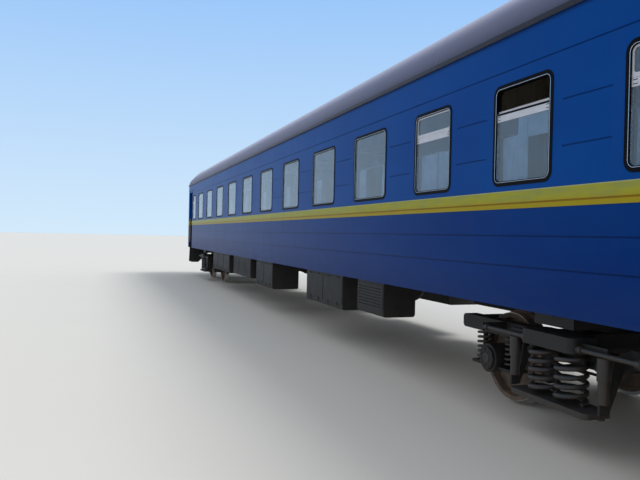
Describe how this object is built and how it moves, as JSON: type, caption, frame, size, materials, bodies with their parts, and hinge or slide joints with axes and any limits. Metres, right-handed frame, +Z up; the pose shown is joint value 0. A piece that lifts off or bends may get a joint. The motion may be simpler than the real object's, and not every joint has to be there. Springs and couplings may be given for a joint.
{
  "type": "four-axle corridor sleeping coach",
  "caption": "Full-size railway passenger coach with arched roof, sealed windows, recessed end doors over steps, gangways and coil-sprung bogies.",
  "frame": {"origin": "under the middle of the coach, on the plane that the wheel flanges touch; the rail head is 28 mm higher", "axes": "+X along the coach to its near end, +Y to the corridor side, +Z up"},
  "size_m": [26.8946, 3.068, 4.666],
  "materials": {
    "body_paint": "gloss enamel, weathered",
    "door_paint": "gloss enamel, weathered",
    "roof_paint": "matt, dusty",
    "chassis_black": "matt, dusty",
    "spring_steel": "matt, dusty",
    "cast_coupler": "rusty casting",
    "wheel_steel": "rolled steel, brown with brake dust",
    "seal_rubber": "matt",
    "tube_rubber": "matt",
    "portal_paint": "matt",
    "window_glass": "clear",
    "window_metal": "satin",
    "rod_metal": "satin",
    "floor_sheet": "worn linoleum",
    "tread_plate": "worn tread plate",
    "wall_laminate": "satin laminate",
    "berth_board": "varnished",
    "berth_cover": "worn",
    "curtain_cloth": "soft",
    "end_door_paint": "satin",
    "rail_paint": "gloss, chipped",
    "lamp_red": "gloss"
  },
  "bodies": {
    "coach_body": {"side_wall_platform": "body_paint", "side_wall_corridor": "body_paint", "end_wall_near": "body_paint", "end_wall_far": "body_paint", "roof": "roof_paint", "roof_ends": "roof_paint", "floor": "floor_sheet", "underframe": "chassis_black", "steps": "chassis_black", "window_seals": "seal_rubber", "window_glass": "window_glass", "vent_frames": "window_metal", "room_walls": "wall_laminate", "ceiling": "wall_laminate", "berth_frames": "berth_board", "berth_cushions": "berth_cover", "tables": "berth_board", "curtain_rods": "rod_metal", "curtains": "curtain_cloth", "couplers": "cast_coupler", "buffers": "chassis_black", "gangway_frames": "portal_paint", "gangway_tubes": "tube_rubber", "tail_lamps": "lamp_red", "underfloor_boxes": "chassis_black", "air_tanks": "chassis_black", "brake_rigging": "chassis_black", "handrails": "rail_paint"},
    "bogie_near": {"bogie_near_frame": "chassis_black", "bogie_near_bolster": "chassis_black", "bogie_near_suspension": "spring_steel", "bogie_near_axle_boxes": "chassis_black", "bogie_near_brakes": "chassis_black"},
    "bogie_far": {"bogie_far_frame": "chassis_black", "bogie_far_bolster": "chassis_black", "bogie_far_suspension": "spring_steel", "bogie_far_axle_boxes": "chassis_black", "bogie_far_brakes": "chassis_black"},
    "wheelset_1": {"wheelset_1": "wheel_steel"},
    "wheelset_2": {"wheelset_2": "wheel_steel"},
    "wheelset_3": {"wheelset_3": "wheel_steel"},
    "wheelset_4": {"wheelset_4": "wheel_steel"},
    "side_door_near_platform": {"side_door_near_platform": "door_paint", "door_glass_near_platform": "window_glass"},
    "step_flap_near_platform": {"step_flap_near_platform": "tread_plate"},
    "side_door_near_corridor": {"side_door_near_corridor": "door_paint", "door_glass_near_corridor": "window_glass"},
    "step_flap_near_corridor": {"step_flap_near_corridor": "tread_plate"},
    "end_door_near": {"end_door_near": "end_door_paint", "end_door_glass_near": "window_glass"},
    "bridge_plate_near": {"bridge_plate_near": "tread_plate"},
    "side_door_far_platform": {"side_door_far_platform": "door_paint", "door_glass_far_platform": "window_glass"},
    "step_flap_far_platform": {"step_flap_far_platform": "tread_plate"},
    "side_door_far_corridor": {"side_door_far_corridor": "door_paint", "door_glass_far_corridor": "window_glass"},
    "step_flap_far_corridor": {"step_flap_far_corridor": "tread_plate"},
    "end_door_far": {"end_door_far": "end_door_paint", "end_door_glass_far": "window_glass"},
    "bridge_plate_far": {"bridge_plate_far": "tread_plate"}
  },
  "joints": [
    {"name": "bogie_near_swivel", "type": "hinge", "parent": "coach_body", "child": "bogie_near", "pos_m": [9.5, 0, 0.96], "axis": [0, 0, 1], "range_deg": [-5, 5]},
    {"name": "bogie_far_swivel", "type": "hinge", "parent": "coach_body", "child": "bogie_far", "pos_m": [-9.5, 0, 0.96], "axis": [0, 0, 1], "range_deg": [-5, 5]},
    {"name": "wheelset_1_roll", "type": "hinge", "parent": "bogie_near", "child": "wheelset_1", "pos_m": [10.7, 0, 0.503], "axis": [0, 1, 0], "continuous": true},
    {"name": "wheelset_2_roll", "type": "hinge", "parent": "bogie_near", "child": "wheelset_2", "pos_m": [8.3, 0, 0.503], "axis": [0, 1, 0], "continuous": true},
    {"name": "wheelset_3_roll", "type": "hinge", "parent": "bogie_far", "child": "wheelset_3", "pos_m": [-8.3, 0, 0.503], "axis": [0, 1, 0], "continuous": true},
    {"name": "wheelset_4_roll", "type": "hinge", "parent": "bogie_far", "child": "wheelset_4", "pos_m": [-10.7, 0, 0.503], "axis": [0, 1, 0], "continuous": true},
    {"name": "side_door_near_platform_hinge", "type": "hinge", "parent": "coach_body", "child": "side_door_near_platform", "pos_m": [12.497, -1.365, 1.408], "axis": [0, 0, -1], "range_deg": [0, 90]},
    {"name": "step_flap_near_platform_hinge", "type": "hinge", "parent": "coach_body", "child": "step_flap_near_platform", "pos_m": [11.673, -1.05, 1.393], "axis": [0, -1, 0], "range_deg": [0, 88]},
    {"name": "side_door_near_corridor_hinge", "type": "hinge", "parent": "coach_body", "child": "side_door_near_corridor", "pos_m": [12.497, 1.365, 1.408], "axis": [0, 0, 1], "range_deg": [0, 90]},
    {"name": "step_flap_near_corridor_hinge", "type": "hinge", "parent": "coach_body", "child": "step_flap_near_corridor", "pos_m": [11.673, 1.05, 1.393], "axis": [0, -1, 0], "range_deg": [0, 88]},
    {"name": "end_door_near_hinge", "type": "hinge", "parent": "coach_body", "child": "end_door_near", "pos_m": [12.705, 0.352, 1.408], "axis": [0, 0, -1], "range_deg": [0, 90]},
    {"name": "bridge_plate_near_hinge", "type": "hinge", "parent": "coach_body", "child": "bridge_plate_near", "pos_m": [12.782, 0, 1.402], "axis": [0, -1, 0], "range_deg": [0, 85]},
    {"name": "side_door_far_platform_hinge", "type": "hinge", "parent": "coach_body", "child": "side_door_far_platform", "pos_m": [-12.497, -1.365, 1.408], "axis": [0, 0, 1], "range_deg": [0, 90]},
    {"name": "step_flap_far_platform_hinge", "type": "hinge", "parent": "coach_body", "child": "step_flap_far_platform", "pos_m": [-11.673, -1.05, 1.393], "axis": [0, 1, 0], "range_deg": [0, 88]},
    {"name": "side_door_far_corridor_hinge", "type": "hinge", "parent": "coach_body", "child": "side_door_far_corridor", "pos_m": [-12.497, 1.365, 1.408], "axis": [0, 0, -1], "range_deg": [0, 90]},
    {"name": "step_flap_far_corridor_hinge", "type": "hinge", "parent": "coach_body", "child": "step_flap_far_corridor", "pos_m": [-11.673, 1.05, 1.393], "axis": [0, 1, 0], "range_deg": [0, 88]},
    {"name": "end_door_far_hinge", "type": "hinge", "parent": "coach_body", "child": "end_door_far", "pos_m": [-12.705, 0.352, 1.408], "axis": [0, 0, 1], "range_deg": [0, 90]},
    {"name": "bridge_plate_far_hinge", "type": "hinge", "parent": "coach_body", "child": "bridge_plate_far", "pos_m": [-12.782, 0, 1.402], "axis": [0, 1, 0], "range_deg": [0, 85]}
  ]
}
